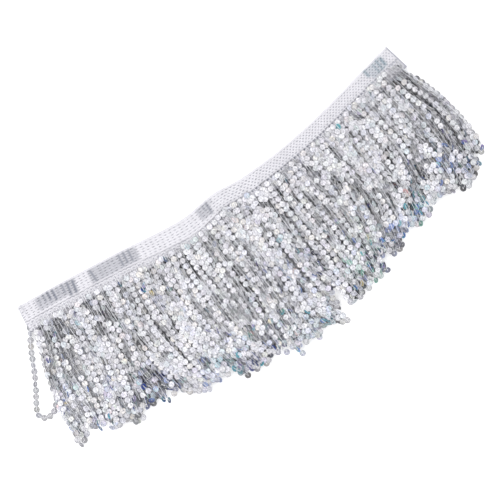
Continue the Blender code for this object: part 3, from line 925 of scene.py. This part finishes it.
def sequin_tints(rng, roll, share, station, film_shade, flashing=1.0):
    """Film colours, one for each corner of each disc: lavender white when it lies flat. As it turns on edge
    its rim gets a painted highlight and its middle painted shade. A disc that flashes runs from one hue to
    another round its hole, as holographic film does."""
    count = len(roll)

    def some(odds):
        return rng.random(count) < odds

    edge = np.sin(roll) ** 2
    grey = 0.80 - 0.01 * edge + 0.05 * smooth_step(0.4, 0.7, station) + rng.normal(0, 0.03, count)
    grey = grey - 0.16 * smooth_step(0.955, 0.985, share)
    # Painted shade: some discs, more of those on edge, are painted darker, a few of them near black
    grey = grey - 0.20 * some(0.05 + 0.08 * edge)
    grey = grey - 0.40 * some(0.01 + 0.07 * edge)
    # Painted highlights: a few discs, more of them towards the tips, are painted lighter
    grey = grey + 0.08 * some(0.01 + 0.08 * smooth_step(0.6, 1.0, station))
    # Painted shade: discs are painted darker over the last tenth of a string towards the tips, and the
    # film_shade darkens the lower rows
    grey = np.clip(grey - 0.27 * smooth_step(0.90, 1.0, station), 0.06, 0.85) * film_shade
    chances = patch_weights(FLASH_PATCHES, share, station)
    local = chances.max(1)
    hue = rng.choice(len(HUES), count, p=FIRST_HUE_ODDS)
    patch_hue = np.array(FLASH_PATCHES)[chances.argmax(1), 5].astype(int)
    hue = np.where((local > 0.08) & some(0.70), patch_hue, hue)
    chance = 0.01 + 0.05 * edge + (0.06 * edge + 0.17) * smooth_step(0.50, 1.0, station) + local
    flashes = some(chance * flashing)
    oblique = 4 * edge * (1 - edge)
    strength = rng.uniform(0.0, 0.10, count) + oblique * rng.uniform(0.0, 0.20, count)
    turned = smooth_step(0.02, 0.35, edge)
    strength = np.where(flashes, rng.uniform(0.5, 1.0, count) * (0.32 + 0.68 * turned), strength)
    grey = grey * np.where(flashes, 1 - 0.25 * turned, 1.0)
    second = rng.choice(len(HUES), count, p=SECOND_HUE_ODDS)
    second = np.where((local > 0.08) & some(0.5), hue, second)
    palette = np.array(HUES)
    angle = 2 * np.pi * np.arange(SEQUIN_SIDES) / SEQUIN_SIDES
    # Painted sheen: each disc is painted 6% lighter on one side and 6% darker on the other; a flashing disc's
    # hues sweep the same way
    sheen_sweep = np.cos(angle[None, :] - rng.uniform(0, 2 * np.pi, (count, 1)))
    blend = (0.5 + 0.5 * sheen_sweep)[..., None] * flashes[:, None, None]
    film = palette[hue][:, None, :] * (1 - blend) + palette[second][:, None, :] * blend
    cool = np.array([1.0, 0.984, 1.005]) - edge[:, None, None] * np.array([0.02, 0.0, -0.01])
    warm = some(0.16)[:, None, None] * np.array([0.02, 0.0, -0.06])
    colour = grey[:, None, None] * (cool + warm) * (1 + 0.06 * sheen_sweep[..., None])
    colour = np.clip(colour * (1 - strength[:, None, None] * (1 - film)), 0.015, 0.95)
    # Painted highlight on the rim and painted shade over the middle of discs that turn on edge, so that they
    # show as thin bright lines with dark gaps
    rim = np.minimum(colour * (1 + 0.70 * edge[:, None, None]), 0.94)
    inside = colour * (1 - 0.56 * edge[:, None, None])
    return np.concatenate([rim, inside, inside], 1)


def sequin_mesh(name, centres, axes, tints, material):
    """Discs as rings with a hole: a thin edge outside and two rings of points round the hole, so each
    face is a very shallow cone. All discs are one array."""
    sides = SEQUIN_SIDES
    flat, length, normal = axes
    spoke = spokes(sides, 0, flat, length)
    outer = centres[:, None, :] + SEQUIN_RADIUS * spoke
    inner = centres[:, None, :] + SEQUIN_HOLE * spoke
    rise = SEQUIN_CROWN * normal[:, None, :]
    points = np.concatenate([outer, inner + rise, inner - rise], 1)
    k = np.arange(sides)
    after = (k + 1) % sides
    o, a, b = 0, sides, 2 * sides
    upper = np.stack([o + k, o + after, a + after, a + k], 1)
    wall = np.stack([a + k, a + after, b + after, b + k], 1)
    lower = np.stack([b + k, b + after, o + after, o + k], 1)
    one = np.concatenate([upper, wall, lower])
    starts = np.arange(len(centres)) * 3 * sides
    faces = (one[None, :, :] + starts[:, None, None]).reshape(-1, 4)
    piece = new_piece(name, points.reshape(-1, 3), material, faces, smooth=False)
    paint(piece, "tint", tints.reshape(-1, 3))
    # Mask for the film's painted rim shadow: normal z squared on the outer ring, 0 round the hole, so flat
    # discs get it and discs on edge don't
    reach = normal[:, 2:] ** 2 * np.repeat([1.0, 0.0, 0.0], sides)
    paint(piece, "reach", reach.ravel())
    return piece


def thread_rings(points, radius=THREAD_RADIUS):
    """Rings of a thin three-sided tube round a line of points."""
    side, up = side_and_up(unit(np.gradient(points, axis=0)))
    return points[:, None, :] + radius * spokes(3, 0.25, side, up)


def raised_off(centres, axes):
    """Discs lifted so that the lowest point of each rim, radius * sqrt(1 - normal z^2) under its centre,
    stays clear of the surface."""
    half_height = SEQUIN_RADIUS * np.sqrt(np.maximum(0.0, 1 - axes[2][:, 2] ** 2)) + SEQUIN_CROWN
    centres[:, 2] = np.maximum(centres[:, 2] + 0.35 * half_height, half_height + SEQUIN_CLEARANCE)
    return centres


def string_of_sequins(path, stations, share, rng, layer, first, film_shade):
    """One string: disc centres every pitch along the path, their roll as smooth random turns that dwell
    face-on and edge-on, and the thread that crosses each disc above its hole."""
    run = run_length(path)
    half = run[-1] / 2
    down = np.arange(first, half, SEQUIN_PITCH)
    from_tip = half - down[-1]
    beyond = (from_tip + SEQUIN_PITCH * rng.uniform(0.35, 0.65)) % SEQUIN_PITCH
    beyond = beyond + SEQUIN_PITCH * (from_tip + beyond < 0.75 * SEQUIN_PITCH)
    up = np.arange(half + beyond, run[-1] - first, SEQUIN_PITCH)
    places = np.concatenate([down, up])
    places = places + rng.uniform(-0.00012, 0.00012, len(places))
    centres, tangents = along_path(path, run, places)
    station = np.interp(places, run, stations)
    here = np.full_like(station, share)
    shared = clumps(here, station, np.random.default_rng(7 + layer))
    own = wander(waves(rng, 5, (0.018, 0.090), ()), places)
    lean = patch_weights(LIE_PATCHES, here, station).sum(-1)
    by_leg = np.where(places < half, -0.8, 0.8) * (1 - 0.7 * smooth_step(0.30, 0.75, station))
    # Painted shade: discs of the lower rows are painted darker where the discs above them stand on edge, and
    # a little darker on one leg of each loop
    shade = np.ones_like(lean)
    if layer < LAYERS - 1:
        shade = (1 - 0.50 * np.clip(lean, 0, 1)) * (1 - 0.15 * np.clip(by_leg, 0, 1))
        lean = 0.3 * (lean + by_leg) - (0.30 if layer else 0.60)
    else:
        lean = lean + by_leg
    turn = 0.34 * shared + 0.98 * own
    on_edge = np.clip((np.abs(turn) + 0.54 * lean - 0.62) / 0.50, 0, 1)
    loose = 0.16 + 0.40 * on_edge * (rng.random(len(places)) < 0.22)
    roll = EDGE_ON * on_edge * np.sign(turn) + rng.normal(0, 1, len(places)) * loose
    roll = roll * (1 - 0.50 * smooth_step(0.92, 0.99, station))
    nod = rng.normal(0, 0.12, len(places))
    nod = nod + on_edge * (rng.choice([-0.30, 0.30]) + rng.normal(0, 0.14, len(places)))
    axes = string_frames(tangents, roll, nod)
    centres = raised_off(centres, axes)
    tints = sequin_tints(rng, roll, here, station, film_shade) * shade[:, None, None]
    upper = np.where(axes[2][:, 2:] >= 0, 1, -1)
    over = centres + axes[2] * THREAD_OVER_DISC * upper
    return centres, axes, tints, over


def make_row(layer, node, loops, shortfall, phase, film_shade, film, yarn):
    """A row of strings: its discs in one piece and its threads in another."""
    rng = np.random.default_rng(100 + layer)
    paths, stations, shares = loop_paths(layer, loops, shortfall, phase, rng)
    first_at = curve_through(FIRST_SEQUIN, shares)[:, 0]
    discs, rings = [], []
    for path, station, share, first in zip(paths, stations, shares, first_at):
        start = first + rng.uniform(0, SEQUIN_PITCH * 0.4)
        centres, axes, tints, over = string_of_sequins(path, station, share, rng, layer, start, film_shade)
        discs.append((centres, *axes, tints))
        line = np.empty((2 * len(over) - 1, 3))
        line[0::2], line[1::2] = over, (over[1:] + over[:-1]) / 2
        line = np.concatenate([path[:1], line, path[-1:]])
        line[:, 2] = np.maximum(line[:, 2], THREAD_RADIUS)
        rings.append(thread_rings(line))
    centres, flats, lengths, normals, tints = (np.concatenate(part) for part in zip(*discs))
    name = node.replace("fringe_", "")
    sequins = sequin_mesh(f"sequins_{name}", centres, (flats, lengths, normals), tints, film)
    return sequins, tubes(f"threads_{name}", rings, yarn)


def make_loose_threads(yarn):
    """Fine chain threads that cross the top of the fringe at a slant, as curves from one root's line to
    another's."""
    rng = np.random.default_rng(21)
    rings = []
    for start in np.linspace(0.04, 0.985, 68):
        top = rng.uniform(-0.02, 0.55)
        length = rng.uniform(0.18, 0.40)
        t = np.linspace(0, 1, 26)
        share = np.clip(start + rng.uniform(-0.012, 0.012) + rng.normal(0, 0.011) * t**1.5, 0.01, 0.99)
        x = LEFT_END + share * HEADING_SPAN
        station = top + length * t
        plan = string_plan(x, share, station, 0.0, 0.0)
        height = 0.0080 + 0.0011 * np.sin(np.pi * t)
        height = height + 0.0005 * wander(waves(rng, 2, (0.01, 0.03), ()), 0.1 * t)
        height = height - 0.0040 * smooth_step(0.9, 1.0, station) - 0.0030 * (t < 0.02) - 0.0030 * (t > 0.98)
        rings.append(thread_rings(raised(plan, height), LOOSE_THREAD_RADIUS))
    return tubes("threads_loose", rings, yarn)


def make_stray(film, yarn):
    """The string that has slipped out, laid on the surface along its loop."""
    rng = np.random.default_rng(3)
    rows = np.array(STRAY_STRING)
    rows[:, :2] += PLAN_SHIFT
    chord = run_length(rows)
    path = curve_through(np.concatenate([chord[:, None], rows], 1), np.linspace(0, chord[-1], 200))
    run = run_length(path)
    places = np.arange(0.002, run[-1], SEQUIN_PITCH)
    centres, tangents = along_path(path, run, places)
    roll = rng.normal(0, 0.30, len(places))
    axes = string_frames(tangents, roll, rng.normal(0, 0.10, len(places)))
    centres[:, 2] -= 0.0013
    centres = raised_off(centres, axes)
    tints = sequin_tints(rng, 0.5 * roll, np.ones(len(places)), np.zeros(len(places)), 0.70, 0.0)
    sequins = sequin_mesh("sequins_stray", centres, axes, tints, film)
    return sequins, tubes("threads_stray", [thread_rings(centres + axes[2] * THREAD_OVER_DISC)], yarn)


# Stage


def make_floor():
    finish = Finish("pale surface", Base_Color=(0.80, 0.80, 0.81, 1.0), Roughness=0.9, Specular_IOR_Level=0.1)
    finish.set(Emission_Color=(1.0, 1.0, 1.0, 1.0), Emission_Strength=FLOOR_GLOW)
    corners = FLOOR_REACH * np.array([(-1.0, -1.0, 0.0), (1.0, -1.0, 0.0), (1.0, 1.0, 0.0), (-1.0, 1.0, 0.0)])
    new_piece("floor", corners, finish.material, np.array([[0, 1, 2, 3]]), smooth=False)


def make_camera():
    """Straight above the middle of the picture, turned so that the tape runs up to the right."""
    data = bpy.data.cameras.new("camera")
    data.lens = LENS_MM
    data.sensor_width = SENSOR_MM
    data.clip_start = 0.01
    camera = add_object("camera", data)
    distance = PICTURE_WIDTH * LENS_MM / SENSOR_MM
    camera.location = (*PICTURE_MIDDLE, distance + 0.005)
    camera.rotation_euler = (0.0, 0.0, PICTURE_TURN)
    bpy.context.scene.camera = camera


def make_lamp():
    data = bpy.data.lights.new("key", "AREA")
    data.shape = "DISK"
    data.size = LAMP_SIZE
    data.energy = LAMP_POWER
    lamp = add_object("key", data)
    lamp.location = LAMP_PLACE
    lamp.rotation_euler = (-Vector(LAMP_PLACE)).to_track_quat("-Z", "Y").to_euler()


def make_sky():
    """A soft white room: bright overhead, darker lower down, so that tilted film turns grey."""
    world = bpy.data.worlds.new("room")
    world.use_nodes = True
    tree = world.node_tree
    direction = add_node(tree, "ShaderNodeTexCoord")
    height = add_node(tree, "ShaderNodeSeparateXYZ", sockets={0: direction}, output=2)
    background = tree.nodes["Background"].inputs
    plug(tree, background[0], add_node(tree, "ShaderNodeValToRGB", sockets={0: height}, stops=ROOM_COLOURS))
    plug(tree, background[1], ROOM_STRENGTH)
    bpy.context.scene.world = world


def hand_over(piece):
    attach(piece, "root")


def main():
    film, thread = sequin_finish(), thread_finish()
    sheet = make_knit_sheet(knit_sheet_finish())
    wales = make_wales(wale_finish())
    hand_over(sheet)
    hand_over(wales)
    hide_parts("heading_tape")
    for layer, (node, loops, shortfall, phase, film_shade) in enumerate(ROWS):
        discs, threads = make_row(layer, node, loops, shortfall, phase, film_shade, film, thread)
        hand_over(discs)
        hand_over(threads)
        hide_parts(node)
    stray_discs, stray_thread = make_stray(film, thread)
    hand_over(stray_discs)
    hand_over(stray_thread)
    hand_over(make_loose_threads(thread))
    make_floor()
    make_camera()
    make_sky()
    make_lamp()
    view = bpy.context.scene.view_settings
    view.view_transform = "Standard"
    view.look = "None"
    view.exposure = 0.0


main()
